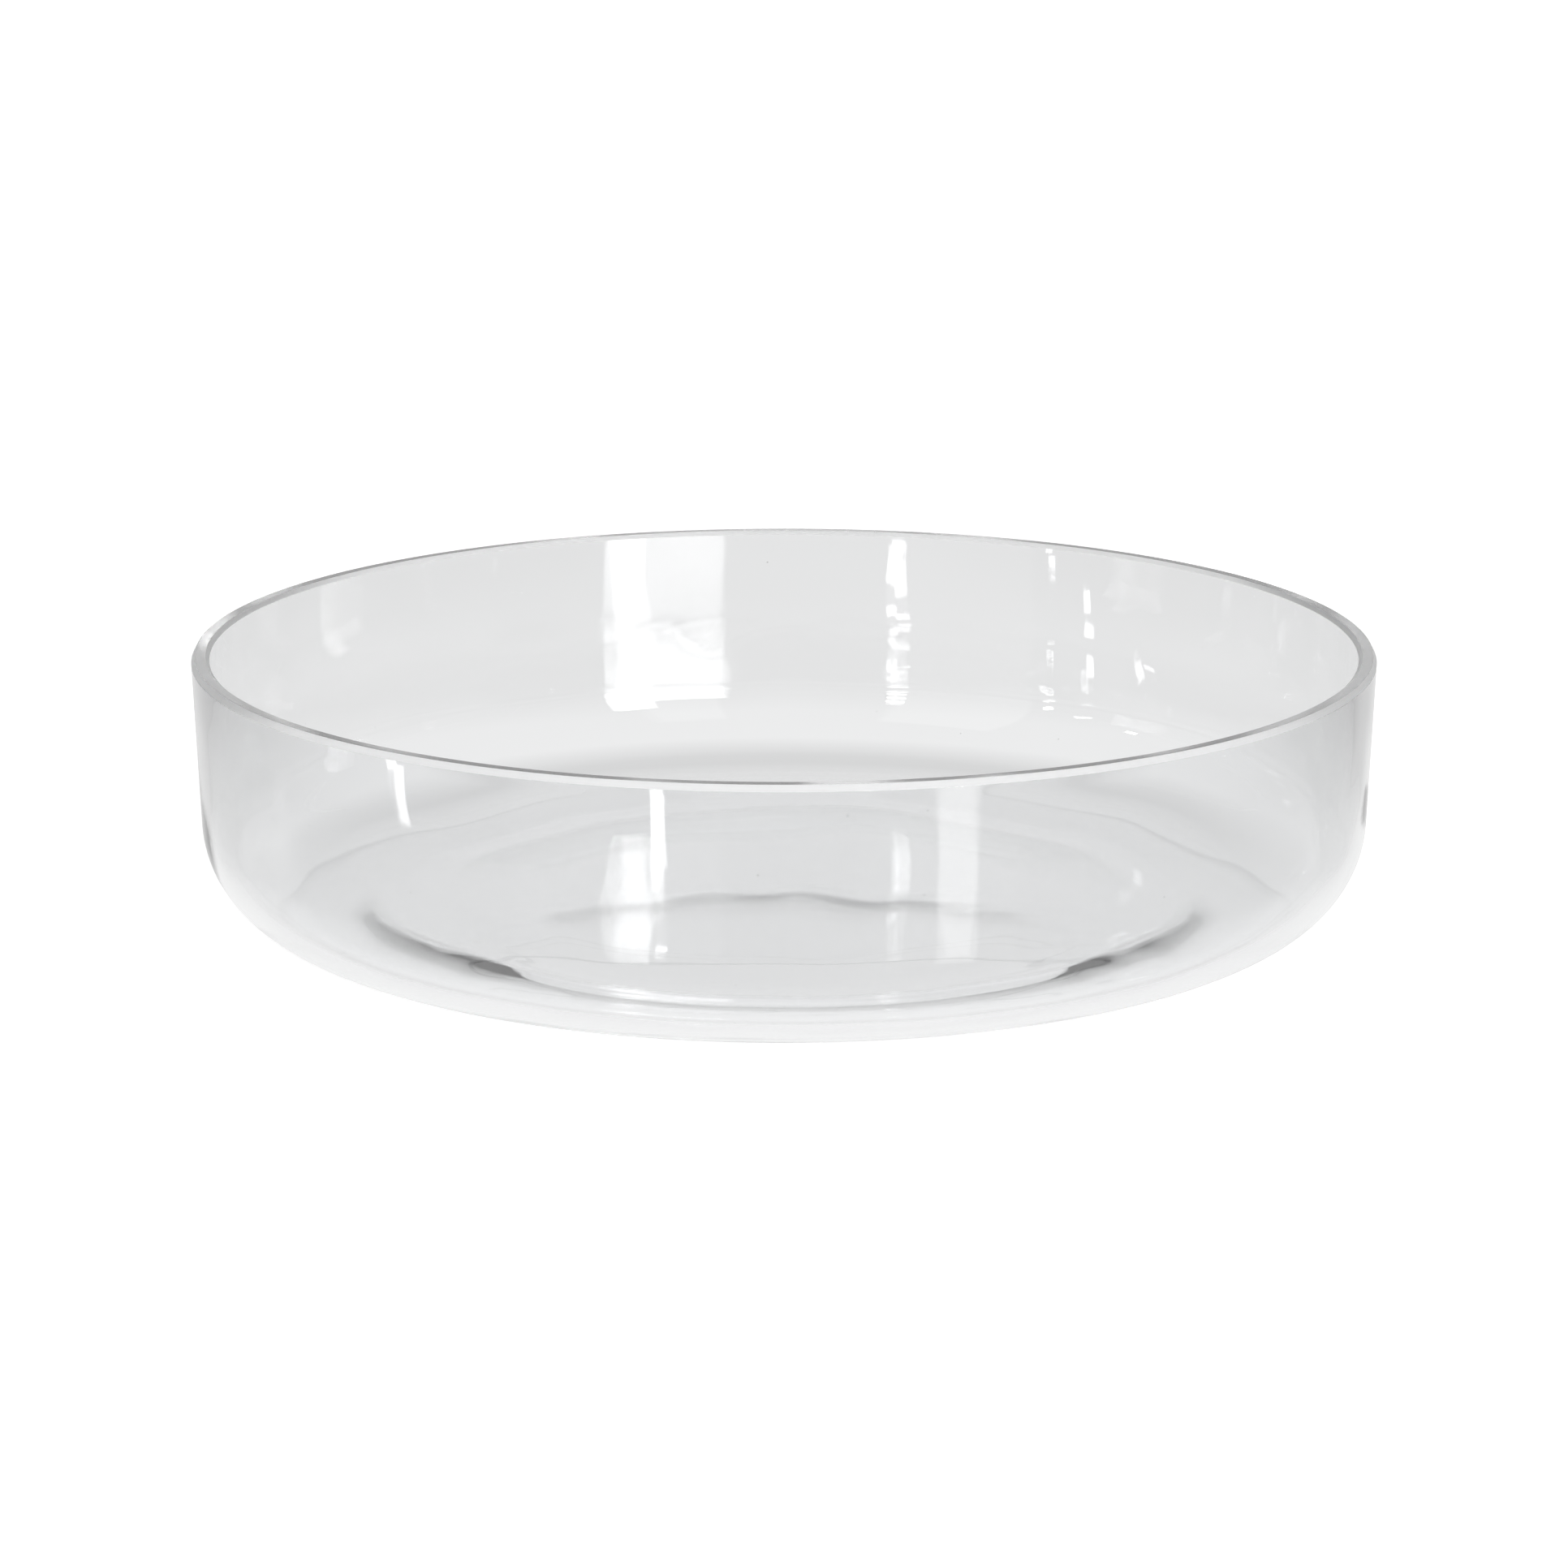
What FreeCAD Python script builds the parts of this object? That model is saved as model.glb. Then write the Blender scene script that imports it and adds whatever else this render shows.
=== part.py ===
"""A shallow round bowl of thick clear blown glass, made to be filled with water for floating candles.

The bowl is one piece of glass. It stands on a narrow flat ring under its floor and opens upwards.
Its axis is Z, its resting plane is Z = 0, and all lengths are in millimetres.
"""

import FreeCAD
import Part

import math
import os

# Overall sizes
rim_diameter = 300.0
bowl_height = 70.0
wall = 4.6
wall_draw_in = 2.5

# Ground rim: a flat top with a steep bevel outside and an even bevel inside
outer_bevel_width = 0.8
outer_bevel_drop = 1.6
inner_bevel_width = 1.0
inner_bevel_drop = 1.0

# Underside: a shallow hollow, a flat ring to stand on, then a gentle rise to the rounded heel
heel_reach = 50.0
heel_lift = 4.0
heel_radius = 26.0
resting_ring_width = 8.0
ring_blend_radius = 40.0
underside_hollow = 0.8

# Floor: a little thicker at its middle, thinnest part of the way out, thicker again at the heel
middle_thickness = 5.4
thin_thickness = 4.2
ring_thickness = 5.2
floor_rise = 4.8
inner_heel_radius = 22.0
floor_blend_radius = 200.0

# Places on the floor, as shares of the resting ring's outer radius
crown_share = 0.36
thin_share = 0.66

rim_radius = rim_diameter / 2
ring_outer_radius = rim_radius - heel_reach
ring_inner_radius = ring_outer_radius - resting_ring_width
thin_radius = thin_share * ring_outer_radius


def point(radius, height):
    """A point of the half outline, from its distance to the axis and its height."""
    return FreeCAD.Vector(radius, 0, height)


def hollow_height(radius):
    """Height of the underside's shallow hollow, a shallow cap of a sphere, at a radius."""
    sphere_radius = (ring_inner_radius**2 + underside_hollow**2) / (2 * underside_hollow)
    return math.sqrt(sphere_radius**2 - radius**2) - sphere_radius + underside_hollow


def corner_arc(before, corner, after, radius):
    """The arc that rounds a corner, as its start, middle and end, kept within half of each side."""
    back = before - corner
    ahead = after - corner
    half_angle = back.getAngle(ahead) / 2
    cut = min(radius / math.tan(half_angle), back.Length / 2, ahead.Length / 2)
    fitted_radius = cut * math.tan(half_angle)
    back.normalize()
    ahead.normalize()
    inwards = (back + ahead).normalize()
    middle = corner + inwards * (fitted_radius / math.sin(half_angle) - fitted_radius)
    return corner + back * cut, middle, corner + ahead * cut


def rounded_line(corners):
    """Edges along a list of (point, radius): straight sides, and a tangent arc at each radius."""
    edges = []
    here = corners[0][0]
    for index in range(1, len(corners)):
        corner, radius = corners[index]
        if radius:
            before, after = corners[index - 1][0], corners[index + 1][0]
            start, middle, end = corner_arc(before, corner, after, radius)
            edges.append(Part.LineSegment(here, start).toShape())
            edges.append(Part.Arc(start, middle, end).toShape())
            here = end
        else:
            edges.append(Part.LineSegment(here, corner).toShape())
            here = corner
    return edges


def bowl_outline():
    """The closed half outline of the glass, from the axis under the floor round to the axis again."""
    hollow_mouth = point(ring_inner_radius, 0)
    hollow_way = point(ring_inner_radius / 2, hollow_height(ring_inner_radius / 2))
    hollow_top = point(0, underside_hollow)
    hollow = Part.Arc(hollow_top, hollow_way, hollow_mouth).toShape()

    outer_edge = point(rim_radius, bowl_height - outer_bevel_drop)
    heel_corner = point(rim_radius - wall_draw_in, heel_lift)
    wall_slope = (outer_edge.x - heel_corner.x) / (outer_edge.z - heel_corner.z)

    thin_height = hollow_height(thin_radius) + thin_thickness
    middle_height = underside_hollow + middle_thickness
    inner_edge = point(rim_radius - wall, bowl_height - inner_bevel_drop)
    inner_corner_height = ring_thickness + floor_rise
    inner_drop = inner_edge.z - inner_corner_height
    inner_corner = point(inner_edge.x - wall_slope * inner_drop, inner_corner_height)

    corners = [
        (hollow_mouth, 0),
        (point(ring_outer_radius, 0), ring_blend_radius),
        (heel_corner, heel_radius),
        (outer_edge, 0),
        (point(rim_radius - outer_bevel_width, bowl_height), 0),
        (point(inner_edge.x + inner_bevel_width, bowl_height), 0),
        (inner_edge, 0),
        (inner_corner, inner_heel_radius),
        (point(ring_outer_radius, ring_thickness), floor_blend_radius),
        (point(thin_radius, thin_height), floor_blend_radius),
        (point(crown_share * ring_outer_radius, middle_height), floor_blend_radius),
        (point(0, middle_height), 0),
        (hollow_top, 0),
    ]
    return Part.Wire([hollow] + rounded_line(corners))


def glass_bowl():
    """The whole bowl: its outline turned once round the axis."""
    face = Part.Face(bowl_outline())
    return face.revolve(FreeCAD.Vector(0, 0, 0), FreeCAD.Vector(0, 0, 1), 360)


pieces = {"glass_bowl": glass_bowl()}

os.makedirs("parts", exist_ok=True)
for name, shape in pieces.items():
    shape.exportStep(os.path.join("parts", name + ".step"))
    print(name, "volume in cm3:", round(shape.Volume / 1000, 1), "valid:", shape.isValid())
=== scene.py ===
"""The look of a shallow bowl of clear blown glass, made to float candles in.

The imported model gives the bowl's size and place. This script blows the glass again as a finer mesh in the
same space, with the uneven thickness of hand work, dresses it, and sets the table, the room and the camera.
All lengths are in metres and all angles in degrees.
"""

import logging
import math
from dataclasses import dataclass, field
from enum import Enum

import bmesh
import bpy
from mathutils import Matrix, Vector, noise


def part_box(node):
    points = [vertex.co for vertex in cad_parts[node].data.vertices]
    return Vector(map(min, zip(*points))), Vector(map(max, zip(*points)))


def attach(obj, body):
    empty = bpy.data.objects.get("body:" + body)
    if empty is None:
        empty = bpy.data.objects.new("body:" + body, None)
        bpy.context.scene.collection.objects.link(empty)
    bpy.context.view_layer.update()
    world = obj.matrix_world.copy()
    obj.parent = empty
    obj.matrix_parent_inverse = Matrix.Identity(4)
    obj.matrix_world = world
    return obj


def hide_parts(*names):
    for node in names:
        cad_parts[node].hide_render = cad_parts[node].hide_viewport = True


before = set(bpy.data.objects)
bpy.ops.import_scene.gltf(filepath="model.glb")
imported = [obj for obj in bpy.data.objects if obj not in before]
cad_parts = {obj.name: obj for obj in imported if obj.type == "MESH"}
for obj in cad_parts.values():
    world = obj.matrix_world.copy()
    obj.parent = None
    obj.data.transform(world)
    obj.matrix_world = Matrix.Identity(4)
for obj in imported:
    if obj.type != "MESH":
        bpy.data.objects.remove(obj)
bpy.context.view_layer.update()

BOUNCES = 24
logger = logging.getLogger("candle_bowl")


class Surface(Enum):
    """The surfaces of the glass, each with its own material slot."""

    BLOWN = 0
    FLAT = 1
    BEVEL = 2


@dataclass(frozen=True)
class Corner:
    """A corner of the half outline.

    Args:
        radius: Distance from the bowl's axis.
        height: Height over the table.
        rounding: Radius of the arc that rounds the corner, or zero for a sharp one.
    """

    radius: float
    height: float
    rounding: float = 0.0

    def vector(self) -> Vector:
        """The corner as a point of the half outline."""
        return Vector((self.radius, self.height))


def ease(share: float) -> float:
    """A share from 0 to 1 with its two ends slowed down."""
    return share * share * (3 - 2 * share)


class Wiring:
    """Short calls for wiring a node tree."""

    def __init__(self, tree: bpy.types.NodeTree) -> None:
        """Starts on an empty tree.

        Args:
            tree: The node tree, which loses the nodes it had.
        """
        self.tree = tree
        tree.nodes.clear()

    def node(self, kind: str, **settings: object) -> bpy.types.Node:
        """Adds a node.

        Args:
            kind: The node's type without the word Shader in front.
            settings: Properties to set on it.

        Returns:
            The new node.
        """
        made = self.tree.nodes.new("ShaderNode" + kind)
        for name, value in settings.items():
            setattr(made, name, value)
        return made

    def feed(self, socket: bpy.types.NodeSocket, value: object) -> None:
        """Links an output to an input, or sets the input where the value is a plain one.

        Args:
            socket: The input.
            value: An output socket, a number or a tuple.
        """
        if isinstance(value, bpy.types.NodeSocket):
            self.tree.links.new(value, socket)
        else:
            socket.default_value = value

    def math(self, operation: str, *values: object) -> bpy.types.NodeSocket:
        """A Math node.

        Args:
            operation: The node's operation.
            values: Its inputs, in order.

        Returns:
            The result's socket.
        """
        made = self.node("Math", operation=operation)
        for socket, value in zip(made.inputs, values):
            self.feed(socket, value)
        return made.outputs[0]

    def ramp(
        self, value: object, low: float, high: float, start: object = 0.0, end: object = 1.0
    ) -> bpy.types.NodeSocket:
        """A smooth change from one number to another.

        Args:
            value: What drives the change.
            low: The value at which it starts.
            high: The value at which it ends.
            start: The result at and below low.
            end: The result at and above high.

        Returns:
            The result's socket.
        """
        made = self.node("MapRange", interpolation_type="SMOOTHSTEP")
        names = ("Value", "From Min", "From Max", "To Min", "To Max")
        for name, number in zip(names, (value, low, high, start, end)):
            self.feed(made.inputs[name], number)
        return made.outputs["Result"]

    def graded(self, value: object, stops: list[tuple[float, float]]) -> bpy.types.NodeSocket:
        """Grey levels that run straight from stop to stop.

        Args:
            value: What drives the change, from 0 to 1.
            stops: Pairs of a place from 0 to 1 and the brightness there, in order.

        Returns:
            The grey's socket.
        """
        made = self.node("ValToRGB")
        self.feed(made.inputs["Fac"], value)
        elements = made.color_ramp.elements
        for index, (place, brightness) in enumerate(stops):
            element = elements[index] if index < 2 else elements.new(place)
            element.position = place
            element.color = (brightness, brightness, brightness, 1.0)
        return made.outputs["Color"]


@dataclass(frozen=True)
class Sag:
    """A shallow oval sag of the floor's upper face, where the soft glass sank a little.

    Args:
        x: Place of its middle from side to side.
        y: Place of its middle from front to back.
        half_width: Half its width from side to side.
        half_length: Half its length from front to back.
        depth: How far the glass sank.
        edge: Width of its sloping edge.
        unevenness: How far its edge strays.
        grain: Size of the edge's waves.
    """

    x: float = 0.002
    y: float = -0.064
    half_width: float = 0.082
    half_length: float = 0.058
    depth: float = 0.0003
    edge: float = 0.02
    unevenness: float = 0.005
    grain: float = 0.014

    def drop(self, place: Vector) -> float:
        """How far the glass sank at a place."""
        across = Vector(((place.x - self.x) / self.half_width, (place.y - self.y) / self.half_length))
        inside = (1 - across.length) * min(self.half_width, self.half_length)
        inside += self.unevenness * noise.noise(Vector((place.x, place.y, 0.0)) / self.grain)
        share = min(max(inside / self.edge + 0.5, 0.0), 1.0)
        return self.depth * ease(share)


@dataclass
class BlownBowl:
    """The bowl: a round floor, a rounded heel and a wall that leans out a little to a ground rim.

    Args:
        name: Name of the dressed piece.
        node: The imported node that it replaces.
        wall: Thickness of the wall.
        wall_draw_in: How far the wall leans in towards the heel.
        outer_bevel_width: Width of the rim's outer bevel.
        outer_bevel_drop: Height of the rim's outer bevel.
        inner_bevel_width: Width of the rim's inner bevel.
        inner_bevel_drop: Height of the rim's inner bevel.
        edge_rounding: Radius of the rim's ground edges.
        heel_reach: Width of the heel, from the resting ring to the rim.
        heel_lift: Height of the heel's sharp corner before it is rounded.
        heel_radius: Radius of the heel.
        resting_ring_width: Width of the flat ring that the bowl stands on.
        ring_rounding: Radius between the ring and the heel.
        hollow_slopes: Pairs of a share of the ring's inner radius and the slope of the hollow there.
        floor_height: Height of the floor's upper face.
        floor_rise: How much the upper face rises towards the wall.
        floor_reach: Width of the rising part, from the rim inwards.
        floor_rounding: Radius between the level and the rising part.
        inner_heel_radius: Radius between the floor and the wall on the inside.
        segments: How many steps one turn round the axis has.
        point_spacing: Longest step along the outline.
        arc_step: Longest step of an arc in degrees.
        wall_ripple: How uneven the wall's inner face is.
        floor_ripple: How uneven the floor's upper face is.
        ripple_size: Size of the broad waves.
        fine_ripple: How uneven the wall is in its small waves.
        fine_ripple_size: Size of the small waves.
        flat_upright: Least upward part of the normal of a face on the rim's flat.
        bevel_foot_share: Share of the outer bevel's height from which a face counts as ground.
        edge_slack_share: Share of the edge's radius within which a face counts as inside the wall.
        merge_share: Share of the edge's radius within which two points are one.
        sag: The sag of the floor.
    """

    name: str = "blown_glass_bowl"
    node: str = "glass_bowl"
    wall: float = 0.0046
    wall_draw_in: float = 0.0025
    outer_bevel_width: float = 0.0008
    outer_bevel_drop: float = 0.0016
    inner_bevel_width: float = 0.001
    inner_bevel_drop: float = 0.001
    edge_rounding: float = 0.00012
    heel_reach: float = 0.05
    heel_lift: float = 0.004
    heel_radius: float = 0.026
    resting_ring_width: float = 0.008
    ring_rounding: float = 0.04
    hollow_slopes: tuple[tuple[float, float], ...] = (
        (0.0, 0.0),
        (0.65, 0.003),
        (0.76, 0.026),
        (0.957, 0.03),
        (1.0, 0.0),
    )
    floor_height: float = 0.0054
    floor_rise: float = 0.002
    floor_reach: float = 0.038
    floor_rounding: float = 0.1
    inner_heel_radius: float = 0.022
    segments: int = 360
    point_spacing: float = 0.0024
    arc_step: float = 4.0
    wall_ripple: float = 0.0004
    floor_ripple: float = 0.00003
    ripple_size: float = 0.045
    fine_ripple: float = 0.00022
    fine_ripple_size: float = 0.02
    flat_upright: float = 0.98
    bevel_foot_share: float = 0.98
    edge_slack_share: float = 0.25
    merge_share: float = 0.02
    sag: Sag = Sag()
    rim_radius: float = field(init=False)
    height: float = field(init=False)

    def __post_init__(self) -> None:
        """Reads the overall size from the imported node."""
        low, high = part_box(self.node)
        self.rim_radius = (high.y - low.y) / 2
        self.height = high.z - low.z

    @property
    def ring_outer_radius(self) -> float:
        """Outer radius of the flat ring that the bowl stands on."""
        return self.rim_radius - self.heel_reach

    @property
    def ring_inner_radius(self) -> float:
        """Inner radius of the flat ring that the bowl stands on."""
        return self.ring_outer_radius - self.resting_ring_width

    @property
    def merge_distance(self) -> float:
        """How close two points of the mesh are when they count as one."""
        return self.edge_rounding * self.merge_share

    def hollow_slope(self, share: float) -> float:
        """Slope of the underside's hollow at a share of the resting ring's inner radius."""
        for (near, start), (far, end) in zip(self.hollow_slopes, self.hollow_slopes[1:]):
            if share <= far:
                return start + (end - start) * (share - near) / (far - near)
        return 0.0

    def hollow(self) -> list[Vector]:
        """The underside's hollow from the axis to the resting ring: nearly flat, and steeper near the ring.

        Returns:
            Points of the half outline, without the one on the ring.
        """
        steps = 2 * math.ceil(self.ring_inner_radius / self.point_spacing)
        step = self.ring_inner_radius / steps
        points, height = [], 0.0
        for index in reversed(range(steps)):
            height += self.hollow_slope((index + 0.5) / steps) * step
            points.append(Vector((index * step, height)))
        return points[::-1]

    def outer_line(self) -> list[Vector]:
        """The outline from the axis under the floor, round the heel and up to the rim's flat.

        Returns:
            Points of the half outline.
        """
        corners = [
            Corner(self.ring_inner_radius, 0.0),
            Corner(self.ring_outer_radius, 0.0, self.ring_rounding),
            Corner(self.rim_radius - self.wall_draw_in, self.heel_lift, self.heel_radius),
            Corner(self.rim_radius, self.height - self.outer_bevel_drop, self.edge_rounding),
            Corner(self.rim_radius - self.outer_bevel_width, self.height, self.edge_rounding),
            Corner(self.rim_radius - self.wall / 2, self.height),
        ]
        return self.hollow() + self.rounded(corners)

    def inner_line(self) -> list[Vector]:
        """The outline from the rim's flat down the inside and over the floor to the axis.

        Returns:
            Points of the half outline.
        """
        edge_radius = self.rim_radius - self.wall
        lean = self.wall_draw_in / (self.height - self.outer_bevel_drop - self.heel_lift)
        corner_height = self.floor_height + self.floor_rise
        corner_radius = edge_radius - lean * (self.height - self.inner_bevel_drop - corner_height)
        corners = [
            Corner(self.rim_radius - self.wall / 2, self.height),
            Corner(edge_radius + self.inner_bevel_width, self.height, self.edge_rounding),
            Corner(edge_radius, self.height - self.inner_bevel_drop, self.edge_rounding),
            Corner(corner_radius, corner_height, self.inner_heel_radius),
            Corner(self.rim_radius - self.floor_reach, self.floor_height, self.floor_rounding),
            Corner(0.0, self.floor_height),
        ]
        return self.rounded(corners)

    def rounded(self, corners: list[Corner]) -> list[Vector]:
        """Points along straight runs joined by tangent arcs.

        Args:
            corners: The corners in order, whose first and last are sharp.

        Returns:
            Points no further apart than the spacing, with the arcs in even steps.
        """
        points = [corners[0].vector()]
        for before, corner, after in zip(corners, corners[1:], corners[2:]):
            self.run_to(points, self.arc(before, corner, after))
        self.run_to(points, [corners[-1].vector()])
        return points

    def arc(self, before: Corner, corner: Corner, after: Corner) -> list[Vector]:
        """Points of the arc that rounds one corner.

        Args:
            before: The corner before it.
            corner: The corner that is rounded.
            after: The corner after it.

        Returns:
            The arc's points from its start to its end.
        """
        here = corner.vector()
        back = (before.vector() - here).normalized()
        ahead = (after.vector() - here).normalized()
        half_angle = back.angle(ahead) / 2
        cut = corner.rounding / math.tan(half_angle)
        centre = here + (back + ahead).normalized() * (corner.rounding / math.sin(half_angle))
        start, end = here + back * cut - centre, here + ahead * cut - centre
        turn = start.angle_signed(end)
        steps = max(2, math.ceil(abs(math.degrees(turn)) / self.arc_step))
        first = math.atan2(start.y, start.x)
        angles = [first - turn * index / steps for index in range(steps + 1)]
        return [centre + Vector((math.cos(a), math.sin(a))) * corner.rounding for a in angles]

    def run_to(self, points: list[Vector], further: list[Vector]) -> None:
        """Adds points, and evenly spaced ones on the straight run before the first of them.

        Args:
            points: The line so far, which grows.
            further: The points to add.
        """
        start, end = points[-1], further[0]
        steps = max(1, math.ceil((end - start).length / self.point_spacing))
        points.extend(start.lerp(end, index / steps) for index in range(1, steps))
        points.extend(further)

    def spin(self, mesh: bmesh.types.BMesh, line: list[Vector]) -> None:
        """Turns half an outline once round the axis.

        Args:
            mesh: The mesh that it is added to.
            line: Points of the half outline.
        """
        before = set(mesh.verts)
        verts = [mesh.verts.new((point.x, 0.0, point.y)) for point in line]
        edges = [mesh.edges.new(pair) for pair in zip(verts, verts[1:])]
        bmesh.ops.spin(
            mesh,
            geom=verts + edges,
            axis=(0.0, 0.0, 1.0),
            cent=(0.0, 0.0, 0.0),
            angle=math.tau / 4,
            steps=self.segments // 4,
        )
        for side in ("X", "Y"):
            skin = [vert for vert in mesh.verts if vert not in before]
            edges = [edge for edge in mesh.edges if edge.verts[0] not in before]
            faces = [face for face in mesh.faces if face.verts[0] not in before]
            geometry = skin + edges + faces
            bmesh.ops.mirror(mesh, geom=geometry, axis=side, merge_dist=self.merge_distance)

    def ripple(self, vert: bmesh.types.BMVert) -> None:
        """Moves a point of the skin as the uneven hand-blown glass lies there.

        Args:
            vert: The point.
        """
        place = vert.co.copy()
        radius = math.hypot(place.x, place.y)
        up_the_wall = min(max((place.z - self.heel_lift) / self.heel_radius, 0.0), 1.0)
        low_down = 1 - ease(up_the_wall)
        size = self.floor_ripple + (self.wall_ripple - self.floor_ripple) * up_the_wall
        near_rim = min((self.height - place.z) / self.heel_radius, 1.0)
        wave = noise.noise(place / self.ripple_size) * size
        wave += noise.noise(place / self.fine_ripple_size) * self.fine_ripple * up_the_wall
        inwards = Vector((-place.x, -place.y, 0.0)) / max(radius, self.edge_rounding)
        vert.co = place + (inwards * up_the_wall + Vector((0, 0, 1 - up_the_wall))) * (wave * near_rim)
        vert.co.z -= self.sag.drop(place) * low_down

    def build(self) -> bpy.types.Object:
        """Builds the glass as one closed mesh.

        Returns:
            The bowl's object, at the origin.
        """
        mesh = bmesh.new()
        self.spin(mesh, self.outer_line())
        outer = set(mesh.verts)
        self.spin(mesh, self.inner_line())
        for vert in mesh.verts:
            if vert not in outer:
                self.ripple(vert)
        bmesh.ops.remove_doubles(mesh, verts=mesh.verts, dist=self.merge_distance)
        bmesh.ops.recalc_face_normals(mesh, faces=mesh.faces)
        for face in mesh.faces:
            face.smooth = True
            face.material_index = self.surface(face).value
        data = bpy.data.meshes.new(self.name)
        mesh.to_mesh(data)
        mesh.free()
        bowl = bpy.data.objects.new(self.name, data)
        bpy.context.scene.collection.objects.link(bowl)
        return bowl

    def surface(self, face: bmesh.types.BMFace) -> Surface:
        """Which surface of the glass a face belongs to.

        Args:
            face: A face with its normal pointing out of the glass.

        Returns:
            The surface.
        """
        place = face.calc_center_median()
        inner_edge = self.rim_radius - self.wall + self.edge_rounding * self.edge_slack_share
        inside_wall = math.hypot(place.x, place.y) < inner_edge
        drop = self.inner_bevel_drop if inside_wall else self.outer_bevel_drop * self.bevel_foot_share
        if place.z < self.height - drop:
            return Surface.BLOWN
        return Surface.FLAT if face.normal.z > self.flat_upright else Surface.BEVEL

    def dress(self, bowl: bpy.types.Object, finishes: dict[Surface, "ClearGlass"]) -> None:
        """Gives the bowl its materials and its place in the frame.

        Args:
            bowl: The bowl's object.
            finishes: The glass of each surface.
        """
        for surface in Surface:
            bowl.data.materials.append(finishes[surface].build())
        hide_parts(self.node)
        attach(bowl, "root")


class HandledSkin:
    """The node group of a glass surface that hands have touched: faint smears, and specks of dust."""

    NAME = "handled_skin"
    SMEAR_DETAIL = 4.0
    SMEAR_DISTORTION = 1.5
    SMEARED_FROM = 0.48
    SMEARED_TO = 0.72
    SMALLEST_SPECK = 0.5
    INPUTS = (
        ("Tint", "NodeSocketColor", (1.0, 1.0, 1.0, 1.0)),
        ("Dust", "NodeSocketColor", (0.5, 0.5, 0.5, 1.0)),
        ("Clean Roughness", "NodeSocketFloat", 0.0),
        ("Smeared Roughness", "NodeSocketFloat", 0.05),
        ("Smear Scale", "NodeSocketFloat", 20.0),
        ("Speck Scale", "NodeSocketFloat", 160.0),
        ("Speck Radius", "NodeSocketFloat", 0.03),
        ("Speck Share", "NodeSocketFloat", 0.3),
    )
    OUTPUTS = (("Color", "NodeSocketColor"), ("Roughness", "NodeSocketFloat"))

    @classmethod
    def tree(cls) -> bpy.types.NodeTree:
        """The node group, built at its first use."""
        return bpy.data.node_groups.get(cls.NAME) or cls.build()

    @classmethod
    def build(cls) -> bpy.types.NodeTree:
        """Builds the node group.

        Returns:
            The new group.
        """
        tree = bpy.data.node_groups.new(cls.NAME, "ShaderNodeTree")
        for name, kind, value in cls.INPUTS:
            tree.interface.new_socket(name=name, in_out="INPUT", socket_type=kind).default_value = value
        for name, kind in cls.OUTPUTS:
            tree.interface.new_socket(name=name, in_out="OUTPUT", socket_type=kind)
        wiring = Wiring(tree)
        given = tree.nodes.new("NodeGroupInput").outputs
        result = tree.nodes.new("NodeGroupOutput").inputs
        place = wiring.node("TexCoord").outputs["Object"]
        smears = wiring.node("TexNoise")
        for name, value in (
            ("Vector", place),
            ("Scale", given["Smear Scale"]),
            ("Detail", cls.SMEAR_DETAIL),
            ("Distortion", cls.SMEAR_DISTORTION),
        ):
            wiring.feed(smears.inputs[name], value)
        ends = given["Clean Roughness"], given["Smeared Roughness"]
        smeared = wiring.ramp(smears.outputs["Fac"], cls.SMEARED_FROM, cls.SMEARED_TO, *ends)
        wiring.feed(result["Roughness"], smeared)
        specks = wiring.node("TexVoronoi")
        wiring.feed(specks.inputs["Vector"], place)
        wiring.feed(specks.inputs["Scale"], given["Speck Scale"])
        random = wiring.node("SeparateColor")
        wiring.feed(random.inputs["Color"], specks.outputs["Color"])
        kept = wiring.math("LESS_THAN", random.outputs["Red"], given["Speck Share"])
        growth = wiring.math("ADD", random.outputs["Green"], cls.SMALLEST_SPECK)
        radius = wiring.math("MULTIPLY", given["Speck Radius"], growth)
        dusty = wiring.math("MULTIPLY", kept, wiring.math("LESS_THAN", specks.outputs["Distance"], radius))
        mix = wiring.node("Mix", data_type="RGBA")
        colours = {socket.identifier: socket for socket in mix.inputs}
        wiring.feed(colours["Factor_Float"], dusty)
        wiring.feed(colours["A_Color"], given["Tint"])
        wiring.feed(colours["B_Color"], given["Dust"])
        made = {socket.identifier: socket for socket in mix.outputs}
        wiring.feed(result["Color"], made["Result_Color"])
        return tree


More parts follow.
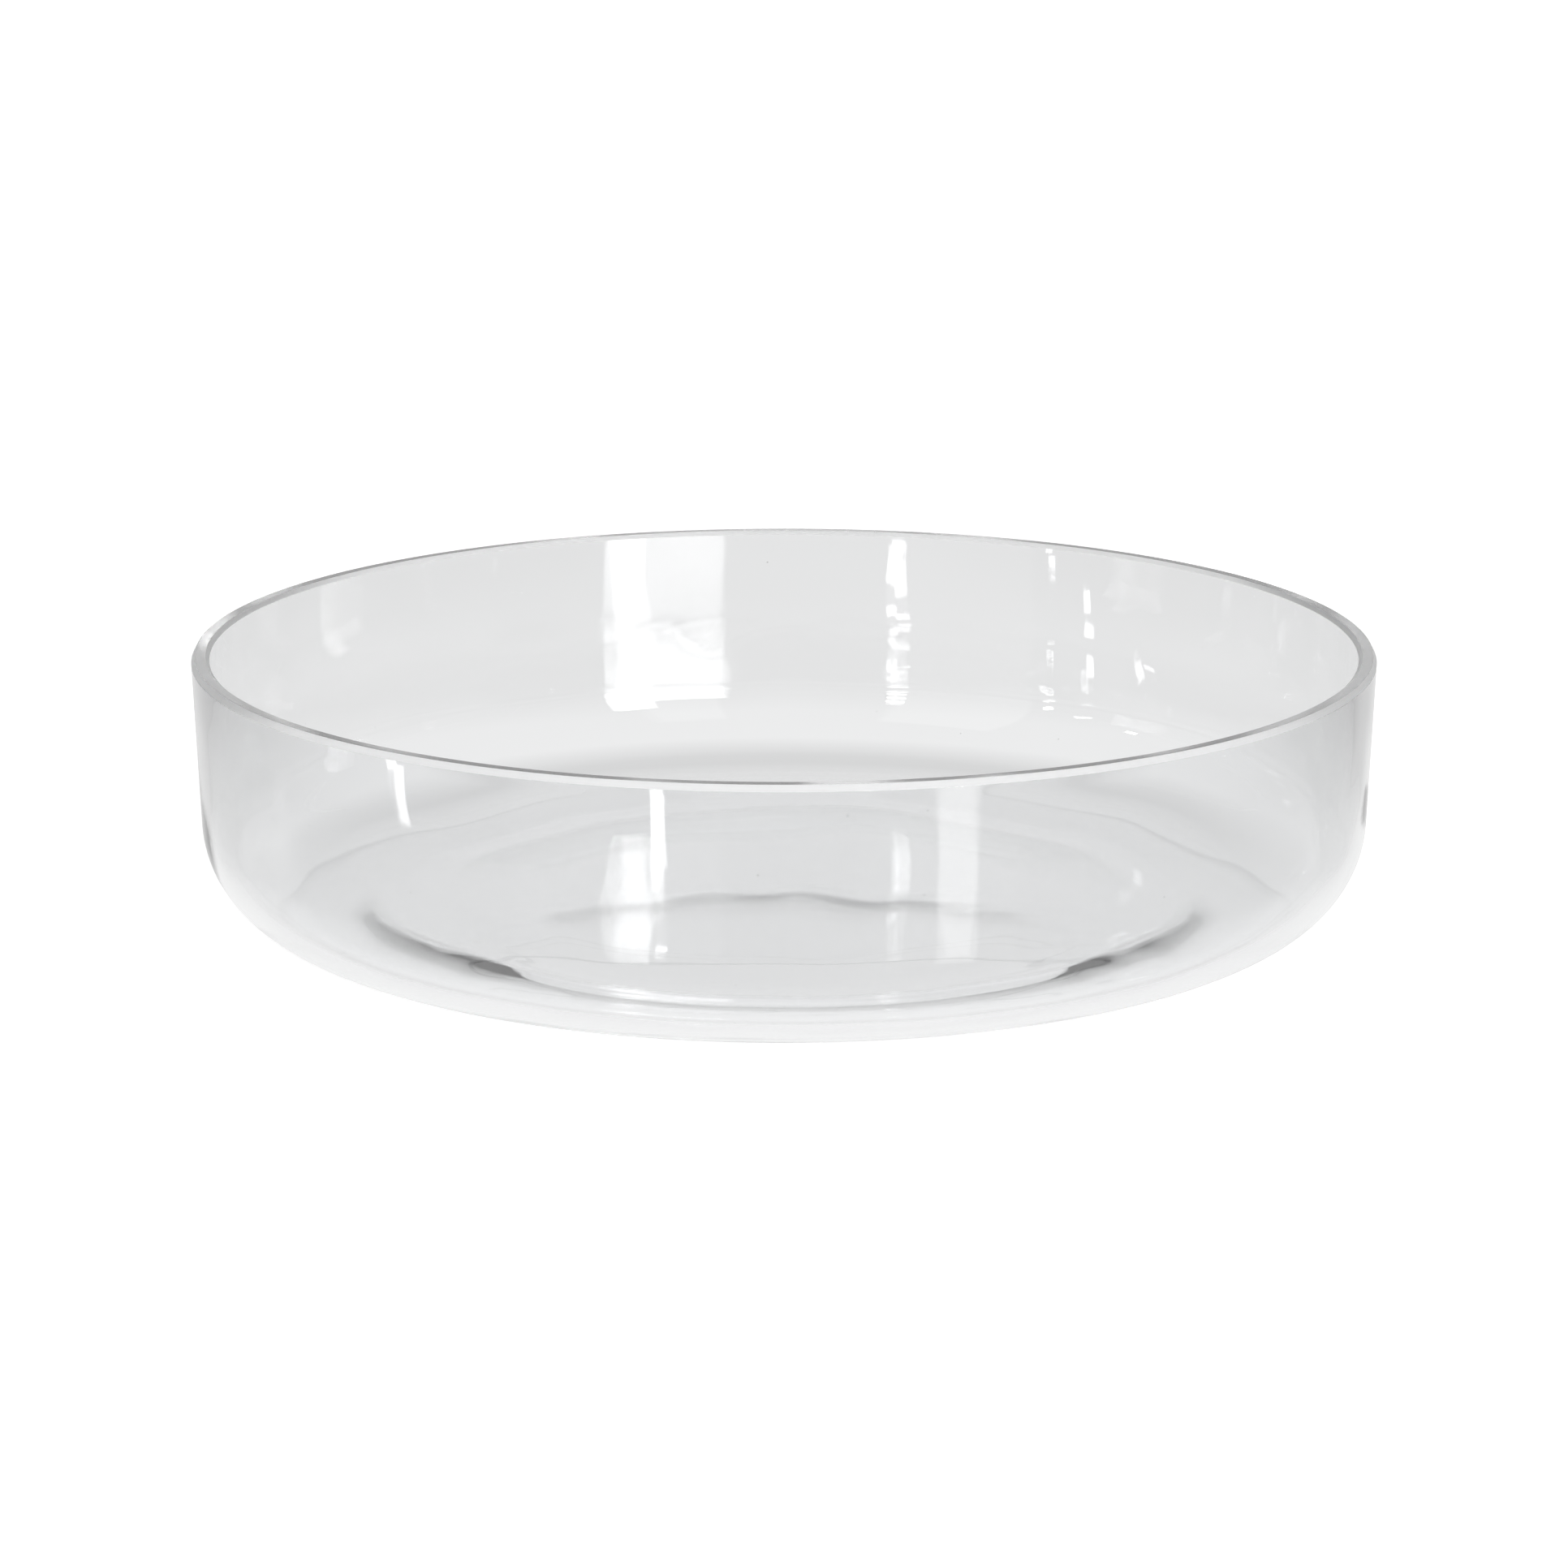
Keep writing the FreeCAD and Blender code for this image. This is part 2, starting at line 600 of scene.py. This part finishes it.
@dataclass(frozen=True)
class ClearGlass:
    """Clear soda glass with the traces of handling.

    Args:
        name: The material's name.
        tint: Share of each colour that one surface lets through.
        dust: Share of each colour that a speck of dust lets through.
        clean: Roughness of the clean glass.
        smeared: Roughness where it is smeared.
        smear_scale: How many smears fit in a metre.
        transmission: Share of the light that goes through and isn't scattered back.
        ior: How strongly the glass bends light.
    """

    name: str
    tint: tuple[float, float, float, float] = (0.972, 0.976, 0.98, 1.0)
    dust: tuple[float, float, float, float] = (0.6, 0.6, 0.6, 1.0)
    clean: float = 0.0
    smeared: float = 0.04
    smear_scale: float = 18.0
    transmission: float = 1.0
    ior: float = 1.5

    def build(self) -> bpy.types.Material:
        """Builds the material.

        Returns:
            The new material.
        """
        material = bpy.data.materials.new(self.name)
        material.use_nodes = True
        wiring = Wiring(material.node_tree)
        glass = wiring.node("BsdfPrincipled")
        output = wiring.node("OutputMaterial")
        skin = wiring.node("Group", node_tree=HandledSkin.tree())
        for name, value in (
            ("Tint", self.tint),
            ("Dust", self.dust),
            ("Clean Roughness", self.clean),
            ("Smeared Roughness", self.smeared),
            ("Smear Scale", self.smear_scale),
        ):
            wiring.feed(skin.inputs[name], value)
        wiring.feed(glass.inputs["Base Color"], skin.outputs["Color"])
        wiring.feed(glass.inputs["Roughness"], skin.outputs["Roughness"])
        wiring.feed(glass.inputs["IOR"], self.ior)
        wiring.feed(glass.inputs["Transmission Weight"], self.transmission)
        wiring.feed(output.inputs["Surface"], glass.outputs["BSDF"])
        return material


FINISHES = {
    Surface.BLOWN: ClearGlass("blown_glass"),
    Surface.FLAT: ClearGlass("ground_flat", clean=0.15, smeared=0.28, smear_scale=20.0, transmission=0.85),
    Surface.BEVEL: ClearGlass("ground_bevel", clean=0.4, smeared=0.6, smear_scale=20.0, transmission=0.4),
}


@dataclass(frozen=True)
class WindowLight:
    """A bright patch of the room, such as a window or a lamp, that the glass mirrors.

    Args:
        azimuth: Direction round the bowl, from the camera's side towards +X.
        elevation: Height of its middle over the horizon.
        half_width: Half its width.
        half_height: Half its height.
        softness: Width of its blurred edge.
        strength: How bright it is.
    """

    azimuth: float
    elevation: float
    half_width: float
    half_height: float
    softness: float
    strength: float


@dataclass
class Room:
    """The room that lights the bowl: bright behind the bowl, darker elsewhere, with windows in front.

    Args:
        camera_white: How bright the room is where the camera sees it directly.
        back: Pairs of the direction's Z part and the brightness there, behind the bowl.
        front: The same for all other sides.
        back_from: The direction's Y part at which the side behind the bowl starts.
        back_to: The direction's Y part from which on it is fully that side.
        windows: The windows and lamps.
    """

    camera_white: float = 1.0
    back: tuple[tuple[float, float], ...] = (
        (-1.0, 0.75),
        (0.0, 0.82),
        (0.2, 0.95),
        (0.5, 0.8),
        (1.0, 0.4),
    )
    front: tuple[tuple[float, float], ...] = (
        (-1.0, 0.75),
        (0.0, 0.46),
        (0.1, 0.36),
        (0.5, 0.36),
        (1.0, 0.42),
    )
    back_from: float = 0.6
    back_to: float = 0.95
    windows: tuple[WindowLight, ...] = (
        WindowLight(azimuth=25, elevation=7, half_width=11.5, half_height=7, softness=1.5, strength=6),
        WindowLight(azimuth=33.5, elevation=13, half_width=3.5, half_height=11, softness=1, strength=9),
        WindowLight(azimuth=23, elevation=24, half_width=8, half_height=20, softness=1.5, strength=0.4),
        WindowLight(azimuth=-39, elevation=15, half_width=14, half_height=30, softness=1.5, strength=0.4),
        WindowLight(azimuth=-24, elevation=12, half_width=0.8, half_height=10, softness=0.5, strength=3),
        WindowLight(azimuth=-24, elevation=4, half_width=1.2, half_height=0.6, softness=0.5, strength=40),
        WindowLight(azimuth=-24, elevation=8, half_width=1.0, half_height=0.8, softness=0.5, strength=40),
        WindowLight(azimuth=-24, elevation=12.5, half_width=1.0, half_height=0.8, softness=0.5, strength=40),
        WindowLight(azimuth=-24, elevation=18, half_width=1.0, half_height=1.2, softness=0.5, strength=40),
        WindowLight(azimuth=-58, elevation=6, half_width=0.6, half_height=1.4, softness=0.4, strength=40),
        WindowLight(azimuth=-67, elevation=10, half_width=0.8, half_height=0.8, softness=0.4, strength=40),
        WindowLight(azimuth=-80, elevation=16, half_width=1.0, half_height=0.8, softness=0.4, strength=40),
    )

    def heights(
        self, wiring: Wiring, up: bpy.types.NodeSocket, stops: tuple[tuple[float, float], ...]
    ) -> bpy.types.NodeSocket:
        """Brightness by the height of the direction.

        Args:
            wiring: The world's wiring.
            up: The direction's Z part.
            stops: Pairs of the Z part and the brightness there.

        Returns:
            The brightness socket.
        """
        spread = wiring.node("MapRange")
        wiring.feed(spread.inputs["Value"], up)
        wiring.feed(spread.inputs["From Min"], -1.0)
        shares = [((height + 1) / 2, brightness) for height, brightness in stops]
        return wiring.graded(spread.outputs["Result"], shares)

    def patch(
        self,
        wiring: Wiring,
        azimuth: bpy.types.NodeSocket,
        elevation: bpy.types.NodeSocket,
        window: WindowLight,
    ) -> bpy.types.NodeSocket:
        """How strongly one window shines in a direction.

        Args:
            wiring: The world's wiring.
            azimuth: The direction's azimuth in radians.
            elevation: The direction's elevation in radians.
            window: The window.

        Returns:
            The strength's socket.
        """
        shares = []
        for angle, middle, half in (
            (azimuth, window.azimuth, window.half_width),
            (elevation, window.elevation, window.half_height),
        ):
            off = wiring.math("ABSOLUTE", wiring.math("SUBTRACT", angle, math.radians(middle)))
            edge = math.radians(half)
            shares.append(wiring.ramp(off, edge, edge + math.radians(window.softness), 1.0, 0.0))
        return wiring.math("MULTIPLY", wiring.math("MULTIPLY", *shares), window.strength)

    def build(self) -> None:
        """Builds the world."""
        world = bpy.data.worlds.new("room")
        world.use_nodes = True
        bpy.context.scene.world = world
        wiring = Wiring(world.node_tree)
        direction = wiring.node("TexCoord").outputs["Generated"]
        parts = wiring.node("SeparateXYZ")
        wiring.feed(parts.inputs[0], direction)
        x, y, z = parts.outputs
        azimuth = wiring.math("ARCTAN2", x, wiring.math("MULTIPLY", y, -1.0))
        elevation = wiring.math("ARCSINE", z)
        behind = wiring.ramp(y, self.back_from, self.back_to)
        mix = wiring.node("Mix", data_type="FLOAT")
        wiring.feed(mix.inputs["Factor"], behind)
        wiring.feed(mix.inputs["A"], self.heights(wiring, z, self.front))
        wiring.feed(mix.inputs["B"], self.heights(wiring, z, self.back))
        total = mix.outputs["Result"]
        for window in self.windows:
            total = wiring.math("ADD", total, self.patch(wiring, azimuth, elevation, window))
        seen = wiring.node("Background")
        wiring.feed(seen.inputs["Strength"], total)
        plain = wiring.node("Background")
        wiring.feed(plain.inputs["Strength"], self.camera_white)
        for shader in (seen, plain):
            wiring.feed(shader.inputs["Color"], (1.0, 1.0, 1.0, 1.0))
        either = wiring.node("MixShader")
        output = wiring.node("OutputWorld")
        wiring.feed(either.inputs[0], wiring.node("LightPath").outputs["Is Camera Ray"])
        wiring.feed(either.inputs[1], seen.outputs[0])
        wiring.feed(either.inputs[2], plain.outputs[0])
        wiring.feed(output.inputs["Surface"], either.outputs[0])


@dataclass
class Table:
    """The plain pale table that the bowl stands on. The glass shows it as a glossy one over a painted glow:
    painted shadow under the bowl, a painted lit ring round it and painted shade to the sides.

    Args:
        name: Name of the table top and of its material.
        radius: Its radius.
        gap: How far it lies under the bowl.
        segments: How many sides its outline has.
        painted_shadow_and_ring: Pairs of a distance from the middle of the painted light and the brightness
            that the glass shows there: painted shadow under the bowl and a painted lit ring round it.
        painted_ring_reach: Distance that the ramp of those pairs covers, the last brightness holding to its
            end.
        painted_ring_centre: How far behind the bowl's axis the middle of the painted shadow and ring lies.
        side_shade_from: Distance aside at which painted shade starts to darken the table in the glass.
        side_shade_to: Distance aside from which on the painted shade is darkest.
        side_shade_share: Share of its brightness that the painted shade leaves there.
        gloss_ior: How strongly it mirrors, as an index of refraction.
        gloss_roughness: Roughness of its mirroring.
        colour: Its colour where the camera sees it.
        lift: Brightness that is added there.
    """

    name: str = "table_top"
    radius: float = 5.0
    gap: float = 0.0002
    segments: int = 128
    # Painted shadow under the bowl, then a painted lit ring round it, then a plain level further out.
    painted_shadow_and_ring: tuple[tuple[float, float], ...] = (
        (0.0, 0.72),
        (0.125, 0.74),
        (0.15, 0.98),
        (0.19, 0.98),
        (0.24, 0.86),
    )
    painted_ring_reach: float = 0.5
    painted_ring_centre: float = 0.03
    # Painted shade that darkens the table to the sides where the glass shows it.
    side_shade_from: float = 0.14
    side_shade_to: float = 0.4
    side_shade_share: float = 0.15
    gloss_ior: float = 2.0
    gloss_roughness: float = 0.03
    colour: tuple[float, float, float, float] = (0.9, 0.9, 0.9, 1.0)
    lift: float = 0.7

    def build(self) -> bpy.types.Object:
        """Builds the table top as a flat disc.

        Returns:
            The table's object.
        """
        mesh = bmesh.new()
        bmesh.ops.create_circle(mesh, cap_ends=True, radius=self.radius, segments=self.segments)
        bmesh.ops.translate(mesh, verts=mesh.verts, vec=(0.0, 0.0, -self.gap))
        data = bpy.data.meshes.new(self.name)
        mesh.to_mesh(data)
        mesh.free()
        table = bpy.data.objects.new(self.name, data)
        bpy.context.scene.collection.objects.link(table)
        data.materials.append(self.material())
        return table

    def material(self) -> bpy.types.Material:
        """The table's material: plain for the camera with the bowl's shadow, and for what the glass shows a
        glossy mirror over painted shadow and light.

        Returns:
            The new material.
        """
        material = bpy.data.materials.new(self.name)
        material.use_nodes = True
        wiring = Wiring(material.node_tree)
        path = wiring.node("LightPath").outputs
        by_glass = wiring.math("MAXIMUM", path["Is Transmission Ray"], path["Is Glossy Ray"])
        either = wiring.node("MixShader")
        output = wiring.node("OutputMaterial")
        wiring.feed(either.inputs[0], by_glass)
        wiring.feed(either.inputs[1], self.plain(wiring))
        wiring.feed(either.inputs[2], self.painted_rings_and_gloss(wiring))
        wiring.feed(output.inputs["Surface"], either.outputs[0])
        return material

    def plain(self, wiring: Wiring) -> bpy.types.NodeSocket:
        """The matt table that the camera sees, lifted to white where no shadow falls.

        Args:
            wiring: The material's wiring.

        Returns:
            The shader's socket.
        """
        matt = wiring.node("BsdfDiffuse")
        wiring.feed(matt.inputs["Color"], self.colour)
        lift = wiring.node("Emission")
        wiring.feed(lift.inputs["Strength"], self.lift)
        lit = wiring.node("AddShader")
        wiring.feed(lit.inputs[0], matt.outputs[0])
        wiring.feed(lit.inputs[1], lift.outputs[0])
        return lit.outputs[0]

    def painted_rings_and_gloss(self, wiring: Wiring) -> bpy.types.NodeSocket:
        """The table that the glass shows: a painted glow that is darker under the bowl as painted shadow,
        with a painted lit ring round it and painted shade to the sides, and the room mirrored at low angles.

        Args:
            wiring: The material's wiring.

        Returns:
            The shader's socket.
        """
        place = wiring.node("TexCoord").outputs["Object"]
        length = wiring.node("VectorMath", operation="DISTANCE")
        wiring.feed(length.inputs[0], place)
        wiring.feed(length.inputs[1], (0.0, self.painted_ring_centre, -self.gap))
        share = wiring.math("DIVIDE", length.outputs["Value"], self.painted_ring_reach)
        shares = [(radius / self.painted_ring_reach, brightness) for radius, brightness in self.painted_shadow_and_ring]
        # Painted light: an emission that only the glass sees, with painted shadow under the bowl and a
        # painted lit ring round it.
        painted_shadow_and_ring = wiring.node("Emission")
        wiring.feed(painted_shadow_and_ring.inputs["Color"], wiring.graded(share, shares))
        parts = wiring.node("SeparateXYZ")
        wiring.feed(parts.inputs[0], place)
        aside = wiring.math("ABSOLUTE", parts.outputs["X"])
        # Painted shade: the painted glow dims to the sides.
        painted_side_shade = wiring.ramp(aside, self.side_shade_from, self.side_shade_to, 1.0, self.side_shade_share)
        wiring.feed(painted_shadow_and_ring.inputs["Strength"], painted_side_shade)
        mirror = wiring.node("BsdfGlossy")
        wiring.feed(mirror.inputs["Roughness"], self.gloss_roughness)
        sheen = wiring.node("Fresnel")
        wiring.feed(sheen.inputs["IOR"], self.gloss_ior)
        through = wiring.node("MixShader")
        wiring.feed(through.inputs[0], sheen.outputs["Fac"])
        wiring.feed(through.inputs[1], painted_shadow_and_ring.outputs[0])
        wiring.feed(through.inputs[2], mirror.outputs[0])
        return through.outputs[0]


@dataclass
class Viewpoint:
    """The camera where the photograph was taken.

    Args:
        photo_width: Width of the photograph in pixels.
        focal_pixels: Focal length in the photograph's pixels.
        sensor: Width of the camera's sensor in millimetres.
        elevation: How far above level the camera looks down from.
        distance: Distance from the point that it looks at.
        aim_height: Height of that point on the bowl's axis.
    """

    photo_width: float = 1932.0
    focal_pixels: float = 6500.0
    sensor: float = 36.0
    elevation: float = 14.0
    distance: float = 1.351
    aim_height: float = 0.033

    def build(self) -> bpy.types.Object:
        """Builds the camera and makes it the scene's.

        Returns:
            The camera's object.
        """
        data = bpy.data.cameras.new("viewpoint")
        data.sensor_width = self.sensor
        data.lens = self.focal_pixels / self.photo_width * self.sensor
        camera = bpy.data.objects.new("viewpoint", data)
        bpy.context.scene.collection.objects.link(camera)
        tilt = math.radians(self.elevation)
        aim = Vector((0.0, 0.0, self.aim_height))
        camera.location = aim + Vector((0.0, -math.cos(tilt), math.sin(tilt))) * self.distance
        camera.rotation_euler = (math.pi / 2 - tilt, 0.0, 0.0)
        bpy.context.scene.camera = camera
        return camera


def let_light_through(scene: bpy.types.Scene, bounces: int) -> None:
    """Lets light bounce often enough to find its way out of the thick glass again.

    Args:
        scene: The scene.
        bounces: How often a ray may turn.
    """
    scene.cycles.max_bounces = bounces
    scene.cycles.transmission_bounces = bounces
    scene.cycles.glossy_bounces = bounces


def main() -> None:
    """Builds the bowl, the table, the room and the camera."""
    logging.basicConfig(level=logging.INFO, format="%(name)s: %(message)s")
    scene = bpy.context.scene
    scene.view_settings.view_transform = "Standard"
    let_light_through(scene, BOUNCES)
    Viewpoint().build()
    Room().build()
    Table().build()
    maker = BlownBowl()
    bowl = maker.build()
    maker.dress(bowl, FINISHES)
    logger.info("%s: %d faces", bowl.name, len(bowl.data.polygons))


if __name__ == "__main__":
    main()
